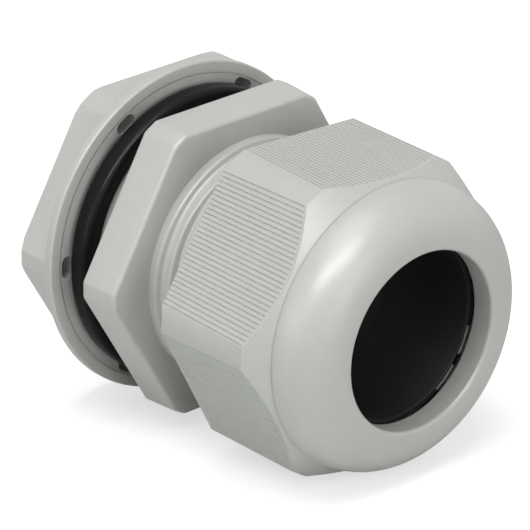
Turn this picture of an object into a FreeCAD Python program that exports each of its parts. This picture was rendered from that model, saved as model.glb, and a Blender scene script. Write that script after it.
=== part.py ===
import FreeCAD
import Part
import math
import os

from FreeCAD import Vector

# Polyamide cable gland for a panel hole, in millimetres.
# Its axis is X. The panel seat, which is the back face of the fixed hexagon, is at x = 0.
# The cable leaves through the dome towards +X, and the entry thread points towards -X.

# Clearances between pieces that move on each other.
thread_clearance = 0.06
hinge_clearance = 0.10
soft_clearance = 0.25

# Entry thread, drawn at its outside diameter.
entry_thread_diameter = 47.0
entry_thread_length = 15.0
entry_wall = 4.5
thread_lead_chamfer = 1.2

# Fixed hexagon of the body. The flats are measured from the entry thread.
body_flats_wall = 3.5
body_flats_taper = 0.8
body_corner_angle = 2.75
body_hex_length = 8.1
body_edge_radius = 0.7

# Sealing insert. The claws, the neck and the dome nut are built outwards from its bore.
seal_bore_diameter = 32.0
seal_tip_wall = 0.75
seal_tip_setback = 0.3
seal_ledge_thickness = 2.0
seal_ledge_relief = 0.6
seal_ledge_depth = 5.9

# Claws around the sealing insert, each on a living hinge at the end of the neck.
claw_count = 15
claw_pitch_share = 0.62
claw_root_radius = 0.95
claw_root_standout = 0.3
claw_length = 18.3
claw_inward_drop = 2.05
claw_tip_face = 0.6
claw_tip_thickness = 2.1

# Threaded neck that carries the dome nut. The claws' seats lie in its wall.
neck_length = 19.9
neck_inner_wall = 0.55
neck_outer_wall = 1.15
collar_length = 1.7
neck_groove_length = 2.6
neck_groove_depth = 1.1
neck_lead_chamfer = 0.8

# Dome nut.
nut_gap_to_body = 11.5
nut_wall = 4.5
nut_flats_taper = 0.8
nut_corner_angle_back = 4.9
nut_corner_angle_front = 3.6
nut_set_angle = -3.0
nut_lead_chamfer = 0.9
rib_count = 30
rib_groove_share = 0.3
rib_groove_depth = 0.2
nut_shoulder_rise = 2.7
nut_shoulder_length = 3.2
dome_step = 0.3
dome_length = 9.3
dome_groove_depth = 0.3
dome_groove_width = 0.35
lip_radius = 0.7
lip_bore_relief = 0.1
throat_relief = 0.35
throat_setback = 4.51
cone_gap = 0.44

# Locknut.
locknut_gap_to_body = 8.2
locknut_length = 8.9
locknut_wall = 3.4
locknut_corner_angle = 2.8
locknut_back_chamfer = 1.2
flange_overhang = 3.6
flange_rim_width = 1.5
flange_back_slope = 3.4
flange_edge_radius = 0.4
face_groove_inset = 2.4
face_groove_width = 0.35
face_groove_depth = 0.4
pocket_width = 2.6
pocket_length = 4.3
pocket_depth = 2.0

# Flat gasket on the entry thread.
gasket_overhang = 3.4
gasket_thickness = 4.1
gasket_edge_radius = 1.2
gasket_gap = 0.4

# Sizes that follow from the ones above.
entry_radius = entry_thread_diameter / 2
entry_bore = entry_radius - entry_wall
body_flats_back = 2 * (entry_radius + body_flats_wall)
body_flats_front = body_flats_back - body_flats_taper

seal_bore = seal_bore_diameter / 2
claw_tip_inner = seal_bore + seal_tip_wall + soft_clearance
claw_hinge_radius = claw_tip_inner + claw_inward_drop + claw_root_radius
claw_width = claw_pitch_share * 2 * math.pi * claw_hinge_radius / claw_count
seat_radius = claw_root_radius + hinge_clearance
neck_bore = claw_hinge_radius - seat_radius - neck_inner_wall
neck_radius = claw_hinge_radius + seat_radius + neck_outer_wall
neck_front = body_hex_length + neck_length
hinge_x = neck_front + claw_root_standout
claw_tip_x = hinge_x + claw_length

throat_radius = seal_bore + throat_relief
lip_bore = seal_bore + lip_bore_relief
throat_x = claw_tip_x + claw_tip_inner + claw_tip_face + cone_gap - throat_radius
nut_back = body_hex_length + nut_gap_to_body
nut_front = throat_x + throat_setback
nut_flats_back = 2 * (neck_radius + nut_wall)
nut_flats_front = nut_flats_back - nut_flats_taper
nut_shoulder_radius = nut_flats_front / 2 + nut_shoulder_rise
dome_base_radius = nut_flats_front / 2 - dome_step

locknut_flats = 2 * (entry_radius + locknut_wall)
flange_radius = locknut_flats / 2 + flange_overhang
face_groove_radius = flange_radius - face_groove_inset
pocket_radius = face_groove_radius - pocket_width / 2
gasket_radius = entry_radius + gasket_overhang
locknut_front = -locknut_gap_to_body
locknut_back = locknut_front - locknut_length
ledge_back = body_hex_length + seal_ledge_depth - seal_ledge_thickness
ledge_front = body_hex_length + seal_ledge_depth


def at(x, radius):
    """Point of a turned profile, in the X-Z plane."""
    return Vector(x, 0, radius)


def outline(points):
    """Straight edges that join the points of a profile, open at its end."""
    return [Part.LineSegment(a, b).toShape() for a, b in zip(points, points[1:])]


def turned(edges):
    """Solid of revolution about the gland's axis."""
    face = Part.Face(Part.Wire(edges))
    return face.revolve(Vector(0, 0, 0), Vector(1, 0, 0), 360)


def turned_polygon(pairs):
    """Solid of revolution of a straight-sided profile, given as x and radius pairs."""
    points = [at(x, radius) for x, radius in pairs]
    return turned(outline(points + points[:1]))


def around_axis(shape, degrees):
    """Copy of a shape, turned about the gland's axis."""
    copy = shape.copy()
    copy.rotate(Vector(0, 0, 0), Vector(1, 0, 0), degrees)
    return copy


def hexagon(x, across_flats, corner_angle, turn=0.0):
    """Hexagon with narrow corner facets. One pair of flats faces up and down."""
    corner_radius = across_flats / 2 / math.cos(math.radians(30 - corner_angle))
    points = []
    for corner in range(6):
        for side in (-corner_angle, corner_angle):
            angle = math.radians(60 * corner + side + turn)
            y = corner_radius * math.cos(angle)
            z = corner_radius * math.sin(angle)
            points.append(Vector(x, y, z))
    return Part.makePolygon(points + points[:1])


def ribbed_hexagon(x, across_flats, corner_angle, turn):
    """The same hexagon with fine grooves along its flats."""
    half = across_flats / 2
    reach = half * math.tan(math.radians(30 - corner_angle))
    pitch = 2 * reach / rib_count
    wide = pitch * rib_groove_share / 2
    points = []
    for flat in range(6):
        along = [(-reach, 0)]
        for rib in range(rib_count):
            middle = -reach + (rib + 0.5) * pitch
            along.append((middle - wide, 0))
            along.append((middle - wide / 2, rib_groove_depth))
            along.append((middle + wide / 2, rib_groove_depth))
            along.append((middle + wide, 0))
        along.append((reach, 0))
        angle = math.radians(60 * flat + 30 + turn)
        for across, depth in along:
            y = (half - depth) * math.cos(angle) - across * math.sin(angle)
            z = (half - depth) * math.sin(angle) + across * math.cos(angle)
            points.append(Vector(x, y, z))
    return Part.makePolygon(points + points[:1])


def hexagonal_bar(back, front):
    """Straight-sided solid between two hexagons."""
    return Part.makeLoft([back, front], True, True)


def edges_on_plane(shape, x, least_radius):
    """Edges that lie in the plane at x, no nearer to the axis than least_radius."""
    found = []
    for edge in shape.Edges:
        points = [vertex.Point for vertex in edge.Vertexes]
        flat = all(abs(point.x - x) < 1e-4 for point in points)
        outer = all(math.hypot(point.y, point.z) > least_radius for point in points)
        if flat and outer:
            found.append(edge)
    return found


def make_gland_body():
    """Entry thread, fixed hexagon and threaded neck, with the bore that carries the seal."""
    back = hexagon(0, body_flats_back, body_corner_angle)
    front = hexagon(body_hex_length, body_flats_front, body_corner_angle)
    hexagonal = hexagonal_bar(back, front)
    rims = edges_on_plane(hexagonal, 0, neck_radius)
    rims += edges_on_plane(hexagonal, body_hex_length, neck_radius)
    hexagonal = hexagonal.makeFillet(body_edge_radius, rims)

    groove_start = body_hex_length + collar_length
    groove_end = groove_start + neck_groove_length
    groove_radius = neck_radius - neck_groove_depth
    spindle = turned_polygon([
        (-entry_thread_length, 0),
        (-entry_thread_length, entry_radius - thread_lead_chamfer),
        (-entry_thread_length + thread_lead_chamfer, entry_radius),
        (body_hex_length / 2, entry_radius),
        (body_hex_length / 2, neck_radius),
        (groove_start, neck_radius),
        (groove_start + neck_groove_depth, groove_radius),
        (groove_end - neck_groove_depth, groove_radius),
        (groove_end, neck_radius),
        (neck_front - neck_lead_chamfer, neck_radius),
        (neck_front, neck_radius - neck_lead_chamfer),
        (neck_front, 0),
    ])
    core = turned_polygon([
        (-entry_thread_length, 0),
        (-entry_thread_length, entry_bore),
        (ledge_back, entry_bore),
        (ledge_back, seal_bore + seal_ledge_relief),
        (ledge_front, seal_bore + seal_ledge_relief),
        (ledge_front, neck_bore),
        (neck_front, neck_bore),
        (neck_front, 0),
    ])
    body = hexagonal.fuse(spindle)
    return body.cut([core] + claw_ring(claw_seat())).removeSplitter()


def claw_ring(claw):
    """One turned copy, for each claw, of a shape drawn at the top of the ring."""
    return [around_axis(claw, 360 / claw_count * n - 90) for n in range(claw_count)]


def across_claw(radius, width):
    """Cylinder on the hinge line of the claw at the top of the ring."""
    start = Vector(hinge_x, -width / 2, claw_hinge_radius)
    return Part.makeCylinder(radius, width, start, Vector(0, 1, 0))


def claw_seat():
    """Hollow in the neck's end in which a claw's root turns."""
    return across_claw(
        claw_root_radius + hinge_clearance,
        claw_width + 2 * soft_clearance,
    )


def claw_profile():
    """Corners of a claw's arm from its hinge to its tip, as x and radius pairs."""
    slope = claw_inward_drop / claw_length
    root_inner = claw_hinge_radius - claw_root_radius
    root_outer = claw_hinge_radius + claw_root_radius
    face_outer = claw_tip_inner + claw_tip_face
    bevel = claw_tip_thickness - claw_tip_face
    return [
        (hinge_x + claw_root_standout, root_inner - claw_root_standout * slope),
        (claw_tip_x, claw_tip_inner),
        (claw_tip_x, face_outer),
        (claw_tip_x - bevel, face_outer + bevel),
        (hinge_x + claw_root_standout, root_outer - claw_root_standout * slope),
    ]


def make_claw():
    """Claw at the top of the ring, with a round root that turns in the neck's seat."""
    arm = turned_polygon(claw_profile())
    slice_box = Part.makeBox(
        claw_length + claw_root_standout,
        claw_width,
        neck_radius,
        Vector(hinge_x, -claw_width / 2, 0),
    )
    root = across_claw(claw_root_radius, claw_width)
    return arm.common(slice_box).fuse(root).removeSplitter()


def make_sealing_insert():
    """Rubber sleeve with a tapered front, which the claws press onto the cable."""
    slope = claw_inward_drop / claw_length
    outer_radius = neck_bore - soft_clearance
    front = claw_tip_x - seal_tip_setback
    front_radius = claw_tip_inner + seal_tip_setback * slope - soft_clearance
    taper_start = front - (outer_radius - front_radius) / slope
    return turned_polygon([
        (ledge_front + soft_clearance, seal_bore),
        (ledge_front + soft_clearance, outer_radius),
        (taper_start, outer_radius),
        (front, front_radius),
        (front, seal_bore),
    ])


def dome_outline():
    """Outside of the dome nut's round end, from its shoulder over the dome into the bore."""
    shoulder_end = nut_front - dome_length
    shoulder_start = shoulder_end - nut_shoulder_length
    rise = (nut_shoulder_radius - dome_base_radius) / nut_shoulder_length
    past_corners = nut_flats_back / 2 / math.cos(math.radians(30)) + 1
    cone_start = shoulder_start - (past_corners - nut_shoulder_radius) / rise
    groove_floor = dome_base_radius - dome_groove_depth
    dome_start = shoulder_end + dome_groove_width
    lip_centre = at(nut_front - lip_radius, lip_bore + lip_radius)
    dome_centre = at(dome_start, lip_centre.z)
    dome_top = at(dome_start, dome_base_radius)
    dome_tip = at(nut_front, lip_centre.z)
    lip_end = at(lip_centre.x, lip_bore)
    half = lip_radius * math.sqrt(0.5)
    lip_middle = lip_centre + Vector(half, 0, -half)

    corners = [
        at(nut_back, 0),
        at(nut_back, past_corners),
        at(cone_start, past_corners),
        at(shoulder_end, dome_base_radius),
        at(shoulder_end + dome_groove_width / 2, groove_floor),
        dome_top,
    ]
    longer, shorter = dome_tip, dome_top
    if (dome_top - dome_centre).Length > (dome_tip - dome_centre).Length:
        longer, shorter = dome_top, dome_tip
    bulge = Part.Ellipse(longer, shorter, dome_centre)
    edges = outline(corners)
    edges.append(Part.Arc(bulge, 0, math.pi / 2).toShape())
    edges.append(Part.Arc(dome_tip, lip_middle, lip_end).toShape())
    edges += outline([lip_end, at(lip_end.x, 0), at(nut_back, 0)])
    return edges


def make_dome_nut():
    """Hexagonal nut with a conical inside that closes the claws, ending in a rounded dome."""
    shoulder_end = nut_front - dome_length
    back = ribbed_hexagon(nut_back, nut_flats_back, nut_corner_angle_back, nut_set_angle)
    front = ribbed_hexagon(
        shoulder_end, nut_flats_front, nut_corner_angle_front, nut_set_angle
    )
    prism = hexagonal_bar(back, front)
    envelope = turned(dome_outline())
    dome = turned_polygon([
        (shoulder_end, 0),
        (shoulder_end, dome_base_radius + 1),
        (nut_front, dome_base_radius + 1),
        (nut_front, 0),
    ])
    thread_radius = neck_radius + thread_clearance
    cone_start = throat_x - (thread_radius - throat_radius)
    inside = turned_polygon([
        (nut_back, 0),
        (nut_back, thread_radius + nut_lead_chamfer),
        (nut_back + nut_lead_chamfer, thread_radius),
        (cone_start, thread_radius),
        (throat_x, throat_radius),
        (nut_front - lip_radius, lip_bore),
        (nut_front - lip_radius, 0),
    ])
    return prism.fuse(dome).common(envelope).cut(inside).removeSplitter()


def make_locknut():
    """Hexagonal nut with a round flange. Its face has a ring groove and six pockets."""
    half_flats = locknut_flats / 2
    back = hexagon(locknut_back, locknut_flats, locknut_corner_angle)
    front = hexagon(locknut_front - flange_rim_width, locknut_flats, locknut_corner_angle)
    past_corners = flange_radius + 1
    back_cone = turned_polygon([
        (locknut_back, 0),
        (locknut_back, past_corners - locknut_back_chamfer - 1),
        (locknut_back + locknut_back_chamfer, past_corners),
        (locknut_front, past_corners),
        (locknut_front, 0),
    ])
    rim_back = locknut_front - flange_rim_width
    slope_start = rim_back - flange_back_slope
    flange = turned_polygon([
        (slope_start, 0),
        (slope_start, half_flats),
        (rim_back, flange_radius),
        (locknut_front, flange_radius),
        (locknut_front, 0),
    ])
    flange = flange.makeFillet(
        flange_edge_radius, edges_on_plane(flange, locknut_front, half_flats)
    )
    bore = entry_radius + thread_clearance
    inside = turned_polygon([
        (locknut_back, 0),
        (locknut_back, bore + thread_lead_chamfer),
        (locknut_back + thread_lead_chamfer, bore),
        (locknut_front - thread_lead_chamfer, bore),
        (locknut_front, bore + thread_lead_chamfer),
        (locknut_front, 0),
    ])
    face_groove = turned_polygon([
        (locknut_front - face_groove_depth, face_groove_radius),
        (locknut_front - face_groove_depth, face_groove_radius + face_groove_width),
        (locknut_front, face_groove_radius + face_groove_width),
        (locknut_front, face_groove_radius),
    ])
    cuts = [inside, face_groove]
    cuts += [around_axis(face_pocket(), 60 * corner) for corner in range(6)]
    nut = hexagonal_bar(back, front).common(back_cone).fuse(flange)
    return nut.cut(cuts).removeSplitter()


def face_pocket():
    """Round-ended pocket sunk in the locknut's face, on the Y side."""
    end_radius = pocket_width / 2
    straight = pocket_length - pocket_width
    floor = Vector(locknut_front - pocket_depth, pocket_radius, 0)
    middle = Part.makeBox(
        pocket_depth,
        pocket_width,
        straight,
        floor + Vector(0, -end_radius, -straight / 2),
    )
    ends = []
    for side in (-1, 1):
        centre = floor + Vector(0, 0, side * straight / 2)
        ends.append(Part.makeCylinder(end_radius, pocket_depth, centre, Vector(1, 0, 0)))
    return middle.fuse(ends).removeSplitter()


def make_gasket():
    """Thick rubber washer with rounded outer edges, loose on the entry thread."""
    back = locknut_front + gasket_gap
    front = back + gasket_thickness
    outer = gasket_radius
    inner = entry_radius + soft_clearance
    ring = turned_polygon([(back, inner), (back, outer), (front, outer), (front, inner)])
    rims = edges_on_plane(ring, back, outer - 1e-3) + edges_on_plane(ring, front, outer - 1e-3)
    return ring.makeFillet(gasket_edge_radius, rims)


def main():
    pieces = {
        "gland_body": make_gland_body(),
        "sealing_insert": make_sealing_insert(),
        "dome_nut": make_dome_nut(),
        "gasket": make_gasket(),
        "locknut": make_locknut(),
    }
    for number, claw in enumerate(claw_ring(make_claw())):
        pieces[f"claw_{number + 1:02d}"] = claw

    os.makedirs("parts", exist_ok=True)
    for name, shape in pieces.items():
        shape.exportStep(f"parts/{name}.step")
        box = shape.BoundBox
        print(f"{name}: {len(shape.Solids)} solid, {shape.Volume / 1000:.2f} cm3, "
              f"valid {shape.isValid()}, x {box.XMin:.2f} to {box.XMax:.2f}")


main()
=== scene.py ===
import math

import bmesh
import bpy
from mathutils import Matrix, Quaternion, Vector


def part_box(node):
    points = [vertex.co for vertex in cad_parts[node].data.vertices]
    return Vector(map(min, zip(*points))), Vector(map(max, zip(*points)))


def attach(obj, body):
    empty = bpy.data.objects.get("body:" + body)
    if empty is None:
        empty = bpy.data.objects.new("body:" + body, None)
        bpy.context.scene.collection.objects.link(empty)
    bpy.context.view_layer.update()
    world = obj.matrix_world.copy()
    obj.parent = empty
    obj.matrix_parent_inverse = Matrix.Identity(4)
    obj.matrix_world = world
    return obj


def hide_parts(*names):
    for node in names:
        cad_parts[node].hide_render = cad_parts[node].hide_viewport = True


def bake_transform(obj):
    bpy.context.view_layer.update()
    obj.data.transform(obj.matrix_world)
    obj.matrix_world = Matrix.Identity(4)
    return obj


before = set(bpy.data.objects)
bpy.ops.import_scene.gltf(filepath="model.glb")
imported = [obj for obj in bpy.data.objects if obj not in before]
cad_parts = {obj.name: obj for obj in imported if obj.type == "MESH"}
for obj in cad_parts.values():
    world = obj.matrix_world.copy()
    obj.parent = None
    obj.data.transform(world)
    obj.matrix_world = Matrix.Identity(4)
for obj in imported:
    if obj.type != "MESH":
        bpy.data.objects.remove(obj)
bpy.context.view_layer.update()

perMetre = 1000  # the pieces are made in millimetres


def span(node):
    # where a body starts and ends along the gland's axis, in millimetres
    low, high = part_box(node)
    return low.x * perMetre, high.x * perMetre


bodyBack, bodyFront = span("gland_body")
nutBack, nutFront = span("dome_nut")
lockBack, lockFront = span("locknut")
gasketBack, gasketFront = span("gasket")
sealBack = span("sealing_insert")[0]
clawFront = span("claw_01")[1]


# Camera, floor and light
print("camera and light")

viewpoint = {
    "target": (0.01514, -0.00185, 0.00123),
    "azimuth": 47.967,
    "elevation": 25.530,
    "roll": 0.607,
    "distance": 0.7295,
    "lens": 287.14,
    "sensor": 36,
    "clip": (0.05, 20),
}


def directionFrom(azimuth, elevation):
    a, e = math.radians(azimuth), math.radians(elevation)
    return Vector((math.sin(a) * math.cos(e), -math.cos(a) * math.cos(e), math.sin(e)))


def makeCamera():
    data = bpy.data.cameras.new("camera")
    data.lens = viewpoint["lens"]
    data.sensor_width = viewpoint["sensor"]
    data.clip_start, data.clip_end = viewpoint["clip"]
    camera = bpy.data.objects.new("camera", data)
    bpy.context.scene.collection.objects.link(camera)
    back = directionFrom(viewpoint["azimuth"], viewpoint["elevation"])
    camera.rotation_mode = "QUATERNION"
    roll = Quaternion((0, 0, 1), math.radians(viewpoint["roll"]))
    camera.rotation_quaternion = (-back).to_track_quat("-Z", "Y") @ roll
    camera.location = Vector(viewpoint["target"]) + back * viewpoint["distance"]
    bpy.context.scene.camera = camera


makeCamera()
bpy.context.scene.view_settings.view_transform = "Standard"


class Wire:
    # an output socket that takes part in sums
    def __init__(self, paint, socket):
        self.paint = paint
        self.socket = socket

    def sum(self, operation, first, second):
        return self.paint.node(
            "ShaderNodeMath", {"operation": operation}, {0: first, 1: second}
        )

    def __add__(self, other):
        return self.sum("ADD", self, other)

    def __radd__(self, other):
        return self.sum("ADD", other, self)

    def __sub__(self, other):
        return self.sum("SUBTRACT", self, other)

    def __rsub__(self, other):
        return self.sum("SUBTRACT", other, self)

    def __mul__(self, other):
        return self.sum("MULTIPLY", self, other)

    def __rmul__(self, other):
        return self.sum("MULTIPLY", other, self)


class Paint:
    # the node tree of a material or of the world
    def __init__(self, owner):
        owner.use_nodes = True
        self.tree = owner.node_tree
        self.tree.nodes.clear()

    def node(self, kind, settings=None, sockets=None, output=0):
        made = self.tree.nodes.new(kind)
        for name, value in (settings or {}).items():
            if name == "stops":
                for stop, position in zip(made.color_ramp.elements, value):
                    stop.position = position
            else:
                setattr(made, name, value)
        for name, value in (sockets or {}).items():
            if isinstance(value, Wire):
                self.tree.links.new(value.socket, made.inputs[name])
            else:
                made.inputs[name].default_value = value
        return Wire(self, made.outputs[output]) if made.outputs else None

    def noise(self, scale, detail=3.0, roughness=0.5):
        place = self.node("ShaderNodeTexCoord", output="Object")
        return self.node(
            "ShaderNodeTexNoise",
            {},
            {"Vector": place, "Scale": scale, "Detail": detail, "Roughness": roughness},
        )

    def ramp(self, value, stops):
        # black up to the first stop, white from the second
        return self.node("ShaderNodeValToRGB", {"stops": stops}, {"Fac": value})

    def blendColour(self, factor, first, second):
        # the sockets share their names, so they go by number
        return self.node(
            "ShaderNodeMix",
            {"data_type": "RGBA"},
            {0: factor, 6: (*first, 1), 7: (*second, 1)},
            output=2,
        )


studio = {
    "target": (0.018, 0, 0),
    "ambient": 0.3,
    "lamps": {
        # azimuth, elevation, distance and size in metres, watts, lights matt colour
        "topLamp": (10, 80, 1.2, 0.8, 8.4, True),
        "sideLamp": (-5, 8, 1.2, 0.6, 3.5, True),
        "frontLamp": (82, 16, 1.2, 0.6, 3.7, True),
        "sparkLamp": (57, 53, 1.0, 0.4, 6.5, False),
        "lipLamp": (25, 43, 1.0, 0.25, 5.5, False),
    },
    "floorColour": (0.72, 0.72, 0.72),
    "floorGlow": 0.58,
    "floorSize": 3.0,
    # how far behind the fronts of the locknut and the dome nut the floor touches them
    "rimInset": 0.001,
    "edgeInset": 0.0105,
}


def makeLamps():
    target = Vector(studio["target"])
    for name, settings in studio["lamps"].items():
        azimuth, elevation, distance, size, watts, matt = settings
        data = bpy.data.lights.new(name, "AREA")
        data.size = size
        data.energy = watts
        lamp = bpy.data.objects.new(name, data)
        bpy.context.scene.collection.objects.link(lamp)
        lamp.location = target + directionFrom(azimuth, elevation) * distance
        lamp.rotation_mode = "QUATERNION"
        lamp.rotation_quaternion = (target - lamp.location).to_track_quat("-Z", "Y")
        lamp.visible_diffuse = matt


def makeWorld():
    world = bpy.data.worlds.new("studioWorld")
    bpy.context.scene.world = world
    paint = Paint(world)
    camera = paint.node("ShaderNodeLightPath", output="Is Camera Ray")
    glossy = paint.node("ShaderNodeLightPath", output="Is Glossy Ray")
    seen = paint.node("ShaderNodeMath", {"operation": "MAXIMUM"}, {0: camera, 1: glossy})
    strength = studio["ambient"] + seen * (1 - studio["ambient"])
    shade = paint.node(
        "ShaderNodeBackground", {}, {"Color": (1, 1, 1, 1), "Strength": strength}
    )
    paint.node("ShaderNodeOutputWorld", {}, {"Surface": shade})


def makeFloor():
    # the gland lies on its flange and on the lower edge of the dome nut
    bm = bmesh.new()
    bmesh.ops.create_grid(bm, x_segments=1, y_segments=1, size=studio["floorSize"])
    rimX = lockFront / perMetre - studio["rimInset"]
    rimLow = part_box("locknut")[0].z
    edgeX = nutFront / perMetre - studio["edgeInset"]
    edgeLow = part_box("dome_nut")[0].z
    slope = math.atan2(edgeLow - rimLow, edgeX - rimX)
    tilt = Matrix.Rotation(-slope, 4, "Y")
    bmesh.ops.transform(
        bm, matrix=Matrix.Translation((rimX, 0, rimLow)) @ tilt, verts=bm.verts
    )
    mesh = bpy.data.meshes.new("floor")
    bm.to_mesh(mesh)
    bm.free()
    floor = bpy.data.objects.new("floor", mesh)
    bpy.context.scene.collection.objects.link(floor)
    paper = bpy.data.materials.new("paperFloor")
    paint = Paint(paper)
    matte = paint.node(
        "ShaderNodeBsdfDiffuse", {}, {"Color": (*studio["floorColour"], 1)}
    )
    camera = paint.node("ShaderNodeLightPath", output="Is Camera Ray")
    glow = paint.node(
        "ShaderNodeEmission",
        {},
        {"Color": (1, 1, 1, 1), "Strength": camera * studio["floorGlow"]},
    )
    both = paint.node("ShaderNodeAddShader", {}, {0: matte, 1: glow})
    paint.node("ShaderNodeOutputMaterial", {}, {"Surface": both})
    mesh.materials.append(paper)


makeLamps()
makeWorld()
makeFloor()


# Finishes
print("finishes")

plastic = {
    "colour": (0.562, 0.574, 0.543),
    "darker": (0.530, 0.543, 0.512),
    "roughness": 0.36,
    "roughnessChange": 0.12,
    # scale and detail of each noise
    "cloud": (45, 2.0),
    "mottle": (900, 4.0),
    "grain": (5200, 2.0),
    "mottleShare": 0.4,
    "toneStops": (0.35, 0.65),
    "grainHeight": 0.000012,
    "grainStrength": 0.6,
    "refraction": 1.5,
}
rubber = {
    "colour": (0.010, 0.010, 0.011),
    "dusty": (0.045, 0.045, 0.045),
    # scale, detail and roughness of each noise
    "specks": (2600, 2.0, 0.7),
    "cloud": (60, 2.0),
    "speckStops": (0.66, 0.74),
    "roughnessChange": 0.12,
    "speckRoughness": 0.1,
    "grainHeight": 0.00003,
    "grainStrength": 0.5,
}


def makePlastic(name):
    material = bpy.data.materials.new(name)
    paint = Paint(material)
    cloud = paint.noise(*plastic["cloud"])
    mottle = paint.noise(*plastic["mottle"])
    grain = paint.noise(*plastic["grain"])
    share = plastic["mottleShare"]
    tone = paint.ramp(cloud * (1 - share) + mottle * share, plastic["toneStops"])
    colour = paint.blendColour(tone, plastic["darker"], plastic["colour"])
    roughness = plastic["roughness"] + plastic["roughnessChange"] * (mottle - 0.5)
    bump = paint.node(
        "ShaderNodeBump",
        {},
        {
            "Strength": plastic["grainStrength"],
            "Distance": plastic["grainHeight"],
            "Height": grain,
        },
    )
    shade = paint.node(
        "ShaderNodeBsdfPrincipled",
        {},
        {
            "Base Color": colour,
            "Roughness": roughness,
            "IOR": plastic["refraction"],
            "Normal": bump,
        },
    )
    paint.node("ShaderNodeOutputMaterial", {}, {"Surface": shade})
    return material


def makeRubber(name, roughness, shine, dust):
    material = bpy.data.materials.new(name)
    paint = Paint(material)
    specks = paint.noise(*rubber["specks"])
    cloud = paint.noise(*rubber["cloud"])
    spot = paint.ramp(specks, rubber["speckStops"])
    colour = paint.blendColour(spot * dust, rubber["colour"], rubber["dusty"])
    bump = paint.node(
        "ShaderNodeBump",
        {},
        {
            "Strength": rubber["grainStrength"],
            "Distance": rubber["grainHeight"],
            "Height": specks,
        },
    )
    shade = paint.node(
        "ShaderNodeBsdfPrincipled",
        {},
        {
            "Base Color": colour,
            "Roughness": roughness
            + rubber["roughnessChange"] * (cloud - 0.5)
            + rubber["speckRoughness"] * spot,
            "Specular IOR Level": shine,
            "Normal": bump,
        },
    )
    paint.node("ShaderNodeOutputMaterial", {}, {"Surface": shade})
    return material


greyPolyamide = makePlastic("greyPolyamide")
blackRubber = makeRubber("blackRubber", roughness=0.6, shine=0.25, dust=1.0)
gasketRubber = makeRubber("gasketRubber", roughness=0.3, shine=0.1, dust=0.15)


# Shared ways of making a piece, in millimetres
acrossAxis = Matrix(((0, 0, 1, 0), (1, 0, 0, 0), (0, 1, 0, 0), (0, 0, 0, 1)))
roundness = {
    "steps": 160,
    "threadSteps": 72,
    "threadSegments": 3,
    "threadSink": 0.3,
    "threadSmallest": 0.04,
    "roundSegments": 4,
    "segmentsPerMillimetre": 2.5,
    "sharpAngle": 32,
}
tolerance = {"same": 1e-4, "onFlat": 1e-3, "weld": 3e-4, "sliver": 1e-4}


def toPiece(bm, name):
    mesh = bpy.data.meshes.new(name)
    bm.to_mesh(mesh)
    bm.free()
    piece = bpy.data.objects.new(name, mesh)
    bpy.context.scene.collection.objects.link(piece)
    return piece


def combine(piece, tool, operation):
    # the boolean leaves slivers, which the welding clears
    joining = piece.modifiers.new("combine", "BOOLEAN")
    joining.operation = operation
    joining.solver = "EXACT"
    joining.object = tool
    depsgraph = bpy.context.evaluated_depsgraph_get()
    made = bpy.data.meshes.new_from_object(piece.evaluated_get(depsgraph))
    piece.modifiers.clear()
    piece.data = made
    bpy.data.objects.remove(tool)
    bm = bmesh.new()
    bm.from_mesh(made)
    bmesh.ops.remove_doubles(bm, verts=bm.verts, dist=tolerance["weld"])
    bmesh.ops.dissolve_degenerate(bm, edges=bm.edges, dist=tolerance["sliver"])
    bm.to_mesh(made)
    bm.free()


def finishPiece(piece, material):
    piece.data.name = piece.name
    piece.data.transform(Matrix.Scale(1 / perMetre, 4))
    piece.data.materials.clear()
    piece.data.materials.append(material)
    piece.data.shade_smooth()
    piece.data.set_sharp_from_angle(angle=math.radians(roundness["sharpAngle"]))


def roundOff(bm, chosen, radius, segments, affect="EDGES"):
    bmesh.ops.bevel(
        bm,
        geom=chosen,
        offset=radius,
        offset_type="OFFSET",
        segments=segments,
        profile=0.5,
        affect=affect,
        material=-1,
    )


def closedProfile(bm, profile, segments=None):
    # corners are x, radius and how far the corner is rounded; a larger round has more steps
    corners = [bm.verts.new((x, 0, radius)) for x, radius, rounding in profile]
    for first, second in zip(corners, corners[1:] + corners[:1]):
        bm.edges.new((first, second))
    for corner, (x, radius, rounding) in zip(corners, profile):
        if rounding:
            more = roundness["segmentsPerMillimetre"] * rounding
            count = segments or round(roundness["roundSegments"] + more)
            roundOff(bm, [corner], rounding, count, "VERTICES")


def turned(profile, steps=None):
    bm = bmesh.new()
    closedProfile(bm, profile)
    bmesh.ops.spin(
        bm,
        geom=bm.verts[:] + bm.edges[:],
        cent=(0, 0, 0),
        axis=(1, 0, 0),
        angle=2 * math.pi,
        steps=steps or roundness["steps"],
        use_merge=True,
    )
    bmesh.ops.remove_doubles(bm, verts=bm.verts, dist=tolerance["same"])
    bmesh.ops.recalc_face_normals(bm, faces=bm.faces)
    return bm


def rod(start, end, radius):
    bm = bmesh.new()
    bmesh.ops.create_cone(
        bm,
        cap_ends=True,
        segments=roundness["steps"],
        radius1=radius,
        radius2=radius,
        depth=end - start,
        matrix=Matrix.Translation(((start + end) / 2, 0, 0)) @ acrossAxis,
    )
    return toPiece(bm, "rod")


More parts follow.
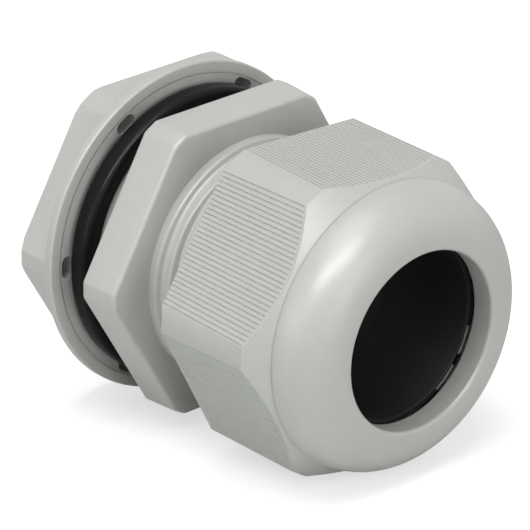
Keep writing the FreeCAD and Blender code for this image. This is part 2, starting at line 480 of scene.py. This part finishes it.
def coil(profile, coreRadius, start, end, pitch, fade):
    # a right-hand thread's ridge; its ends shrink, though not to nothing, and sink into
    # the wall over an angle of fade
    bm = bmesh.new()
    sink = math.copysign(roundness["threadSink"], profile[1][1] - coreRadius)
    section = [(start + x, radius, rounding) for x, radius, rounding in profile]
    closedProfile(bm, section, roundness["threadSegments"])
    turns = (end - start) / pitch
    steps = round(turns * roundness["threadSteps"])
    bmesh.ops.contextual_create(bm, geom=bm.verts[:] + bm.edges[:])
    bmesh.ops.spin(
        bm,
        geom=bm.verts[:] + bm.edges[:] + bm.faces[:],
        cent=(0, 0, 0),
        axis=(1, 0, 0),
        dvec=((end - start) / steps, 0, 0),
        angle=turns * 2 * math.pi,
        steps=steps,
    )
    for vertex in bm.verts:
        angle = math.atan2(-vertex.co.y, vertex.co.z) % (2 * math.pi)
        turn = round((vertex.co.x - start) / pitch - angle / (2 * math.pi))
        along = turn * 2 * math.pi + angle
        left = min(along, turns * 2 * math.pi - along)
        share = min(1.0, left / math.radians(fade))
        share = max(roundness["threadSmallest"], share)
        radius = math.hypot(vertex.co.y, vertex.co.z)
        wanted = coreRadius + (radius - coreRadius) * share - sink * (1 - share)
        vertex.co.y *= wanted / radius
        vertex.co.z *= wanted / radius
    bmesh.ops.recalc_face_normals(bm, faces=bm.faces)
    return bm


def addThread(piece, name, thread, core, crest, start, end):
    # core and crest are radii; foot and tip are half the ridge's width there. The foot lies
    # deeper in the wall than the core by rooted, which is negative for a nut's outer wall
    foot, tip = thread["foot"], thread["tip"]
    footRadius = core - thread["rooted"]
    profile = [
        (-foot, footRadius, 0),
        (-tip, crest, thread["round"]),
        (tip, crest, thread["round"]),
        (foot, footRadius, 0),
    ]
    ridge = coil(profile, core, start, end, thread["pitch"], thread["fade"])
    combine(piece, toPiece(ridge, name), "UNION")


def near(value, wanted, reach="same"):
    return abs(value - wanted) < tolerance[reach]


def edgesAt(bm, x):
    return [e for e in bm.edges if all(near(v.co.x, x) for v in e.verts)]


def lengthwiseEdges(bm):
    return [e for e in bm.edges if abs(e.verts[0].co.x - e.verts[1].co.x) > 1]


def borderEdges(bm, axis, facing):
    # between a face that looks along the axis and one that doesn't
    return [
        e
        for e in bm.edges
        if len(e.link_faces) == 2
        and sum(abs(f.normal[axis]) > facing for f in e.link_faces) == 1
    ]


def hexagonRing(bm, x, acrossFlats, cornerAngle, turn=0.0):
    # hexagon with cut corners; one pair of flats faces up and down
    half = acrossFlats / 2
    made = bmesh.ops.create_circle(
        bm,
        segments=6,
        radius=half / math.cos(math.radians(30)),
        matrix=Matrix.Translation((x, 0, 0))
        @ Matrix.Rotation(math.radians(turn - 30), 4, "X")
        @ acrossAxis,
    )
    cut = half * (math.tan(math.radians(30)) - math.tan(math.radians(30 - cornerAngle)))
    roundOff(bm, made["verts"], cut, 1, "VERTICES")


def joinRings(bm, stations):
    for first, second in zip(stations, stations[1:]):
        bmesh.ops.bridge_loops(bm, edges=edgesAt(bm, first) + edgesAt(bm, second))
    for end in (stations[0], stations[-1]):
        bmesh.ops.edgeloop_fill(bm, edges=edgesAt(bm, end))
    bmesh.ops.recalc_face_normals(bm, faces=bm.faces)


def hexagonalBar(rings, turn=0.0):
    # rings are x, across flats and the half angle of a corner facet
    bm = bmesh.new()
    for x, flats, corner in rings:
        hexagonRing(bm, x, flats, corner, turn)
    joinRings(bm, [ring[0] for ring in rings])
    return bm


# Gland body: entry thread, fixed hexagon and threaded neck
print("gland body")

body = {
    "hexBack": (0.0, 54.0, 2.75),
    "hexFront": (8.1, 53.2, 2.75),
    "cornerRound": 0.35,
    "rimRound": 0.7,
    "entryRadius": 23.5,
    "entryCore": 22.55,
    "entryBore": 19.0,
    "entryLead": 1.0,
    "entryFoot": (0.9, 0.4),
    "neckRadius": 22.2,
    "neckCore": 21.15,
    "neckBore": 18.4,
    "neckLead": 0.6,
    "leadDepth": 0.5,
    "insideHex": 1.5,
    "collar": 1.7,
    "ledge": (12.0, 14.0, 16.6),
    "neckThread": {
        "foot": 0.95,
        "tip": 0.55,
        "rooted": 0.3,
        "round": 0.32,
        "pitch": 3.0,
        "fade": 50,
    },
    "neckThreadGaps": (2.3, 0.9),
    "entryThread": {
        "foot": 0.68,
        "tip": 0.12,
        "rooted": 0.2,
        "round": 0.08,
        "pitch": 1.5875,
        "fade": 60,
    },
    "entryThreadGaps": (1.1, 1.3),
}


def makeBody():
    hexBack, hexFront = body["hexBack"][0], body["hexFront"][0]
    entryCore, neckCore, depth = body["entryCore"], body["neckCore"], body["leadDepth"]
    collarEnd = hexFront + body["collar"]
    footStart, footEnd = body["entryFoot"]
    inside = body["insideHex"]
    ledgeBack, ledgeFront, ledgeRadius = body["ledge"]
    spindle = turned([
        (bodyBack, body["entryBore"], 0.4),
        (bodyBack, entryCore - depth, 0.3),
        (bodyBack + body["entryLead"], entryCore, 0.3),
        (hexBack - footStart, entryCore, 0.2),
        (hexBack - footEnd, entryCore + depth, 0.2),
        (hexBack + inside, entryCore + depth, 0),
        (hexBack + inside, body["neckRadius"] - depth, 0),
        (hexFront - inside, body["neckRadius"] - depth, 0),
        (hexFront - inside, body["neckRadius"], 0),
        (collarEnd, body["neckRadius"], 0.4),
        (collarEnd + depth, neckCore, 0.4),
        (bodyFront - body["neckLead"], neckCore, 0.2),
        (bodyFront, neckCore - depth, 0.2),
        (bodyFront, body["neckBore"], 0.3),
        (ledgeFront, body["neckBore"], 0.3),
        (ledgeFront, ledgeRadius, 0.4),
        (ledgeBack, ledgeRadius, 0.4),
        (ledgeBack, body["entryBore"], 0.3),
    ])
    piece = toPiece(spindle, "glandBody")

    bar = hexagonalBar([body["hexBack"], body["hexFront"]])
    roundOff(bar, lengthwiseEdges(bar), body["cornerRound"], 3)
    roundOff(bar, borderEdges(bar, 0, 0.9), body["rimRound"], 5)
    hexagon = toPiece(bar, "hexagon")
    # the hexagon becomes a ring whose inside lies within the spindle's wall
    past, hidden = 2, 0.7
    hole = rod(hexBack - past, hexFront + past, body["neckRadius"] - hidden)
    combine(hexagon, hole, "DIFFERENCE")
    combine(piece, hexagon, "UNION")

    before, after = body["neckThreadGaps"]
    addThread(
        piece,
        "neckRidge",
        body["neckThread"],
        neckCore,
        body["neckRadius"],
        collarEnd + before,
        bodyFront - after,
    )
    before, after = body["entryThreadGaps"]
    addThread(
        piece,
        "entryRidge",
        body["entryThread"],
        entryCore,
        body["entryRadius"],
        bodyBack + before,
        hexBack - after,
    )
    finishPiece(piece, greyPolyamide)
    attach(piece, "gland_body")
    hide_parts("gland_body")


makeBody()


# Dome nut: a ribbed hexagonal blank cut back by a turned outline
print("dome nut")

nut = {
    "flatsBack": 53.4,
    "flatsFront": 52.6,
    "cornerBack": 4.9,
    "cornerFront": 3.6,
    "turn": -3.0,
    "backChamfer": 0.25,
    "ribs": 30,
    # across and into the flat, as parts of a groove's half width and depth
    "groove": ((-1, 0), (-0.5, 1), (0.5, 1), (1, 0)),
    "grooveShare": 0.3,
    "grooveDepth": 0.2,
    "ribBorder": 0.35,
    "borderSunk": 0.02,
    "borderDepth": 0.4,
    "shoulderSlope": 0.9375,
    "domeLength": 9.3,
    "domeRadius": 26.0,
    "domeRound": 8.9,
    "lineWidth": 0.35,
    "lineDepth": 0.3,
    "lipRadius": 16.1,
    "lipRound": 0.7,
    "throat": (4.51, 16.35),
    "bore": 22.26,
    "lead": 0.9,
    "pastCorners": 31.8,
    "thread": {
        "foot": 0.75,
        "tip": 0.3,
        "rooted": -0.24,
        "round": 0.1,
        "pitch": 3.0,
        "fade": 50,
    },
    "threadSpan": (22.6, 36.1),
    "threadCrest": 21.4,
}


def ribbedRing(bm, x, acrossFlats, cornerAngle, turn, depth):
    # the same ring, with each flat cut into ribs by grooves of this depth
    hexagonRing(bm, x, acrossFlats, cornerAngle, turn)
    flats = sorted(edgesAt(bm, x), key=lambda edge: edge.calc_length())[-6:]
    points = len(nut["groove"])
    bmesh.ops.subdivide_edges(bm, edges=flats, cuts=points * nut["ribs"])
    made = [v for v in bm.verts if near(v.co.x, x)]
    half = acrossFlats / 2
    for flat in range(6):
        angle = math.radians(60 * flat + 30 + turn)
        out = Vector((0, math.cos(angle), math.sin(angle)))
        along = Vector((0, -math.sin(angle), math.cos(angle)))
        line = [v for v in made if near(v.co.dot(out), half, "onFlat")]
        line.sort(key=lambda v: v.co.dot(along))
        reach = line[-1].co.dot(along)
        pitch = 2 * reach / nut["ribs"]
        wide = pitch * nut["grooveShare"] / 2
        for number, vertex in enumerate(line[1:-1]):
            rib, point = divmod(number, points)
            across, sunk = nut["groove"][point]
            place = -reach + (rib + 0.5) * pitch + across * wide
            vertex.co = Vector((x, 0, 0)) + out * (half - sunk * depth) + along * place


def ribbedBar(rings, turn):
    bm = bmesh.new()
    for x, flats, corner, depth in rings:
        ribbedRing(bm, x, flats, corner, turn, depth)
    joinRings(bm, [ring[0] for ring in rings])
    return bm


def makeDomeNut():
    domeBack = nutFront - nut["domeLength"]
    coneStart = domeBack - (nut["pastCorners"] - nut["domeRadius"]) / nut["shoulderSlope"]
    throatX, throatRadius = nutFront - nut["throat"][0], nut["throat"][1]
    lineMiddle = domeBack + nut["lineWidth"] / 2
    inside = [
        (nutFront, nut["lipRadius"], nut["lipRound"]),
        (throatX, throatRadius, 0),
        (throatX - nut["bore"] + throatRadius, nut["bore"], 0.2),
        (nutBack + nut["lead"], nut["bore"], 0.1),
        (nutBack, nut["bore"] + nut["lead"], 0),
    ]
    outline = [
        (nutBack, nut["pastCorners"], 0),
        (coneStart, nut["pastCorners"], 0),
        (domeBack, nut["domeRadius"], 0.12),
        (lineMiddle, nut["domeRadius"] - nut["lineDepth"], 0.05),
        (domeBack + nut["lineWidth"], nut["domeRadius"], 0.1),
        (nutFront, nut["domeRadius"], nut["domeRound"]),
    ]
    piece = toPiece(turned(outline + inside), "domeNut")
    # the ribs run past the back and stop at the dome, where the blank widens to clear it
    flatsBack, cornerBack = nut["flatsBack"], nut["cornerBack"]
    flatsFront, cornerFront = nut["flatsFront"], nut["cornerFront"]
    flatsStart, depth = nutBack + nut["backChamfer"], nut["grooveDepth"]
    wide = flatsFront * 1.2
    bell = ribbedBar(
        [
            (nutBack - 0.5, flatsBack - 2 * nut["backChamfer"] - 1, cornerBack, depth),
            (flatsStart, flatsBack, cornerBack, depth),
            (domeBack - 0.05, flatsFront, cornerFront, depth),
            (domeBack + 0.05, wide, cornerFront, 0),
            (nutFront + 1, wide, cornerFront, 0),
        ],
        nut["turn"],
    )
    combine(piece, toPiece(bell, "bell"), "INTERSECT")

    # the plain border between the ribs and the shoulder
    gap = nut["borderSunk"]
    rim = toPiece(
        hexagonalBar(
            [
                (flatsStart, flatsBack - 2 * gap, cornerBack),
                (domeBack, flatsFront - 2 * gap, cornerFront),
            ],
            nut["turn"],
        ),
        "rim",
    )
    band = turned([
        (coneStart - gap, nut["pastCorners"], 0),
        (domeBack - gap, nut["domeRadius"], 0),
        (domeBack - nut["ribBorder"], nut["domeRadius"] - nut["borderDepth"], 0),
        (coneStart - nut["ribBorder"], nut["pastCorners"], 0),
    ])
    combine(rim, toPiece(band, "band"), "INTERSECT")
    combine(piece, rim, "UNION")

    start, end = nut["threadSpan"]
    addThread(
        piece, "nutRidge", nut["thread"], nut["bore"], nut["threadCrest"], start, end
    )
    finishPiece(piece, greyPolyamide)
    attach(piece, "dome_nut")
    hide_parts("dome_nut")


makeDomeNut()


# Locknut: hexagon, round flange, ring groove and six pockets
print("locknut")

lock = {
    "flats": 53.8,
    "corner": 2.8,
    "cornerRound": 0.35,
    "backChamfer": 1.2,
    "flangeRadius": 30.5,
    "rimWidth": 1.5,
    "rimRound": 0.4,
    "backSlope": 3.4,
    "bore": 23.56,
    "lead": 1.0,
    "grooveRadius": 28.15,
    "grooveWidth": 0.35,
    "grooveDepth": 0.4,
    "pocketRadius": 26.75,
    "pocketWidth": 2.6,
    "pocketLength": 4.3,
    "pocketDepth": 4.5,
    "pocketSegments": 28,
    "blankInside": 18,
    "past": 1,
    "thread": {
        "foot": 0.68,
        "tip": 0.12,
        "rooted": -0.24,
        "round": 0.05,
        "pitch": 1.5875,
        "fade": 60,
    },
    "threadSpan": (-14.694, -9.4),
    "threadCrest": 22.66,
}


def pocketCutter():
    # round-ended pockets, one at each corner of the hexagon
    bm = bmesh.new()
    half = (lock["pocketLength"] - lock["pocketWidth"]) / 2
    for corner in range(6):
        made = bmesh.ops.create_circle(
            bm,
            cap_ends=True,
            segments=lock["pocketSegments"],
            radius=lock["pocketWidth"] / 2,
            matrix=Matrix.Translation((lockFront - lock["pocketDepth"], 0, 0))
            @ Matrix.Rotation(math.pi / lock["pocketSegments"], 4, "X")
            @ acrossAxis,
        )
        for vertex in made["verts"]:
            vertex.co.z += math.copysign(half, vertex.co.z)
        face = made["verts"][0].link_faces[0]
        risen = bmesh.ops.extrude_face_region(bm, geom=[face], use_keep_orig=True)
        top = [v for v in risen["geom"] if isinstance(v, bmesh.types.BMVert)]
        bmesh.ops.translate(bm, verts=top, vec=(lock["pocketDepth"] + lock["past"], 0, 0))
        bmesh.ops.translate(bm, verts=top + made["verts"], vec=(0, lock["pocketRadius"], 0))
        bmesh.ops.rotate(
            bm,
            verts=top + made["verts"],
            cent=(0, 0, 0),
            matrix=Matrix.Rotation(math.radians(60 * corner), 3, "X"),
        )
    bmesh.ops.recalc_face_normals(bm, faces=bm.faces)
    return bm


def makeLocknut():
    # the cutting tools run past the faces that they open
    rimBack = lockFront - lock["rimWidth"]
    half = lock["flats"] / 2
    inner, extra = lock["blankInside"], lock["past"]
    bar = hexagonalBar([
        (lockBack, lock["flats"], lock["corner"]),
        (rimBack + 0.3, lock["flats"], lock["corner"]),
    ])
    roundOff(bar, lengthwiseEdges(bar), lock["cornerRound"], 3)
    piece = toPiece(bar, "flangedLocknut")
    outer = lock["flangeRadius"] + extra
    blank = turned([
        (lockBack, inner, 0),
        (lockBack, outer - lock["backChamfer"] - extra, 0),
        (lockBack + lock["backChamfer"], outer, 0),
        (lockFront, outer, 0),
        (lockFront, inner, 0),
    ])
    combine(piece, toPiece(blank, "blank"), "INTERSECT")
    flange = turned([
        (rimBack - lock["backSlope"], inner, 0),
        (rimBack - lock["backSlope"], half - 0.1, 0),
        (rimBack, lock["flangeRadius"], 0.3),
        (lockFront, lock["flangeRadius"], lock["rimRound"]),
        (lockFront, inner, 0),
    ])
    combine(piece, toPiece(flange, "flange"), "UNION")
    bore = turned([
        (lockBack - extra, inner - 2, 0),
        (lockBack - extra, lock["bore"] + lock["lead"] + extra, 0),
        (lockBack + lock["lead"], lock["bore"], 0),
        (lockFront - lock["lead"], lock["bore"], 0),
        (lockFront + extra, lock["bore"] + lock["lead"] + extra, 0),
        (lockFront + extra, inner - 2, 0),
    ])
    combine(piece, toPiece(bore, "bore"), "DIFFERENCE")
    grooveEnd = lock["grooveRadius"] + lock["grooveWidth"]
    groove = turned([
        (lockFront - lock["grooveDepth"], lock["grooveRadius"], 0.08),
        (lockFront - lock["grooveDepth"], grooveEnd, 0.08),
        (lockFront + extra, grooveEnd, 0),
        (lockFront + extra, lock["grooveRadius"], 0),
    ])
    combine(piece, toPiece(groove, "groove"), "DIFFERENCE")
    combine(piece, toPiece(pocketCutter(), "pockets"), "DIFFERENCE")
    start, end = lock["threadSpan"]
    addThread(
        piece, "lockRidge", lock["thread"], lock["bore"], lock["threadCrest"], start, end
    )
    finishPiece(piece, greyPolyamide)
    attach(piece, "locknut")
    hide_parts("locknut")


makeLocknut()


# Gasket
print("gasket")

gasket = {"outside": 26.9, "inside": 23.75, "round": 1.2, "insideRound": 0.3}


def makeGasket():
    piece = toPiece(
        turned([
            (gasketBack, gasket["inside"], gasket["insideRound"]),
            (gasketBack, gasket["outside"], gasket["round"]),
            (gasketFront, gasket["outside"], gasket["round"]),
            (gasketFront, gasket["inside"], gasket["insideRound"]),
        ]),
        "gasketRing",
    )
    finishPiece(piece, gasketRubber)
    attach(piece, "gasket")
    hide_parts("gasket")


makeGasket()


# Claws on living hinges, and the rubber sleeve that they press
print("claws and sealing insert")

claw = {
    "count": 15,
    "width": 5.194,
    "hinge": (28.3, 20.0),
    "rootBack": 0.75,
    "rootFront": 0.35,
    "hingeFront": 0.6,
    "rootHalf": 0.75,
    "hingeHalf": 0.35,
    "endOuter": 20.92,
    "endInner": 19.02,
    "tipInner": 17.0,
    "tipFace": 0.6,
    "tipThickness": 2.1,
    "edgeRound": 0.12,
    "halfAngle": 12,
    "steps": 12,
    "bend": (0.0279, 0.0288),  # metres
}
seal = {
    "bore": 16.0,
    "outside": 18.15,
    "tip": 16.78,
    "lipReach": 0.45,
    "lipBack": 0.06,
    "lipRound": 0.15,
    "lipRadius": 17.2,
    "lipThickness": 0.05,
    "shortLip": 16.6,
    "shortLips": (14, 15),
    "overlap": 2.4,
    "overlapStep": 0.03,
    "taperStart": 34.2,
    "bend": (27.7, 29.5),
    "bendCuts": 9,
    "bendCutStep": 0.25,
    "endRound": 0.3,
    "steps": 12,
    "sleeveSteps": 10,
}


def turnedSlice(profile, half, steps):
    # part of a turned solid, half an angle each way from the top
    bm = bmesh.new()
    closedProfile(bm, profile)
    bmesh.ops.contextual_create(bm, geom=bm.verts[:] + bm.edges[:])
    bmesh.ops.rotate(
        bm,
        verts=bm.verts,
        cent=(0, 0, 0),
        matrix=Matrix.Rotation(math.radians(-half), 3, "X"),
    )
    bmesh.ops.spin(
        bm,
        geom=bm.verts[:] + bm.edges[:] + bm.faces[:],
        cent=(0, 0, 0),
        axis=(1, 0, 0),
        angle=math.radians(2 * half),
        steps=steps,
    )
    bmesh.ops.recalc_face_normals(bm, faces=bm.faces)
    return bm


def clawShape():
    hingeX, hingeRadius = claw["hinge"]
    bevel = claw["tipThickness"] - claw["tipFace"]
    faceOuter = claw["tipInner"] + claw["tipFace"]
    rootBack, rootFront = hingeX - claw["rootBack"], hingeX - claw["rootFront"]
    armStart = hingeX + claw["hingeFront"]
    bm = turnedSlice(
        [
            (rootBack, hingeRadius - claw["rootHalf"], 0),
            (rootFront, hingeRadius - claw["rootHalf"], 0.15),
            (hingeX, hingeRadius - claw["hingeHalf"], 0.15),
            (armStart, claw["endInner"], 0.2),
            (clawFront, claw["tipInner"], 0.1),
            (clawFront, faceOuter, 0.1),
            (clawFront - bevel, faceOuter + bevel, 0.2),
            (armStart, claw["endOuter"], 0.2),
            (hingeX, hingeRadius + claw["hingeHalf"], 0.15),
            (rootFront, hingeRadius + claw["rootHalf"], 0.15),
            (rootBack, hingeRadius + claw["rootHalf"], 0),
        ],
        claw["halfAngle"],
        claw["steps"],
    )
    for side in (-1, 1):
        cut = bmesh.ops.bisect_plane(
            bm,
            geom=bm.verts[:] + bm.edges[:] + bm.faces[:],
            plane_co=(0, side * claw["width"] / 2, 0),
            plane_no=(0, side, 0),
            clear_outer=True,
        )
        loop = [e for e in cut["geom_cut"] if isinstance(e, bmesh.types.BMEdge)]
        bmesh.ops.edgeloop_fill(bm, edges=loop)
    bmesh.ops.recalc_face_normals(bm, faces=bm.faces)
    roundOff(bm, borderEdges(bm, 1, 0.99), claw["edgeRound"], 2)
    return bm


def sealShape(lipRadius, inset):
    # neighbours overlap, a hair apart, so that no slit opens when the claws spread
    bend = seal["bend"][0]
    bore = seal["bore"] + inset
    lipFront, lipBack = clawFront + seal["lipReach"] - inset, clawFront + seal["lipBack"]
    corners = [
        (bend, bore, 0),
        (lipFront, bore, seal["lipRound"]),
        (lipFront, lipRadius, seal["lipRound"]),
        (lipBack, lipRadius, 0),
        (lipBack, min(seal["tip"], lipRadius - seal["lipThickness"]), 0),
        (seal["taperStart"], seal["outside"], 0),
        (bend, seal["outside"], 0),
    ]
    bm = turnedSlice(corners, 180 / claw["count"] + seal["overlap"], seal["steps"])
    for number in range(1, seal["bendCuts"] + 1):
        bmesh.ops.bisect_plane(
            bm,
            geom=bm.verts[:] + bm.edges[:] + bm.faces[:],
            plane_co=(bend + number * seal["bendCutStep"], 0, 0),
            plane_no=(1, 0, 0),
        )
    return bm


def makeSleeve():
    # the part of the sealing insert behind the bend
    outline = [
        (sealBack, seal["bore"], seal["endRound"]),
        (sealBack, seal["outside"], seal["endRound"]),
        (seal["bend"][0], seal["outside"], 0),
        (seal["bend"][0], seal["bore"], 0),
    ]
    steps = claw["count"] * seal["sleeveSteps"]
    rear = toPiece(turned(outline, steps), "sealSleeve")
    finishPiece(rear, blackRubber)
    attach(rear, "gland_body")
    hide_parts("sealing_insert")


def makeClaws():
    for number in range(claw["count"]):
        name = f"{number + 1:02d}"
        angle = 360 / claw["count"] * number - 90
        around = Matrix.Rotation(math.radians(angle), 4, "X")
        arm = toPiece(clawShape(), "claw." + name)
        arm.data.transform(around)
        finishPiece(arm, greyPolyamide)
        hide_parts("claw_" + name)
        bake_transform(arm)
        # the lip covers the claws' tips, apart from the two that peep out past it
        short = number + 1 in seal["shortLips"]
        lipRadius = seal["shortLip"] if short else seal["lipRadius"]
        inset = number % 3 * seal["overlapStep"]
        wedge = toPiece(sealShape(lipRadius, inset), "seal." + name)
        wedge.data.transform(around)
        finishPiece(wedge, blackRubber)
        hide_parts("sealing_insert")
        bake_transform(wedge)


makeSleeve()
makeClaws()
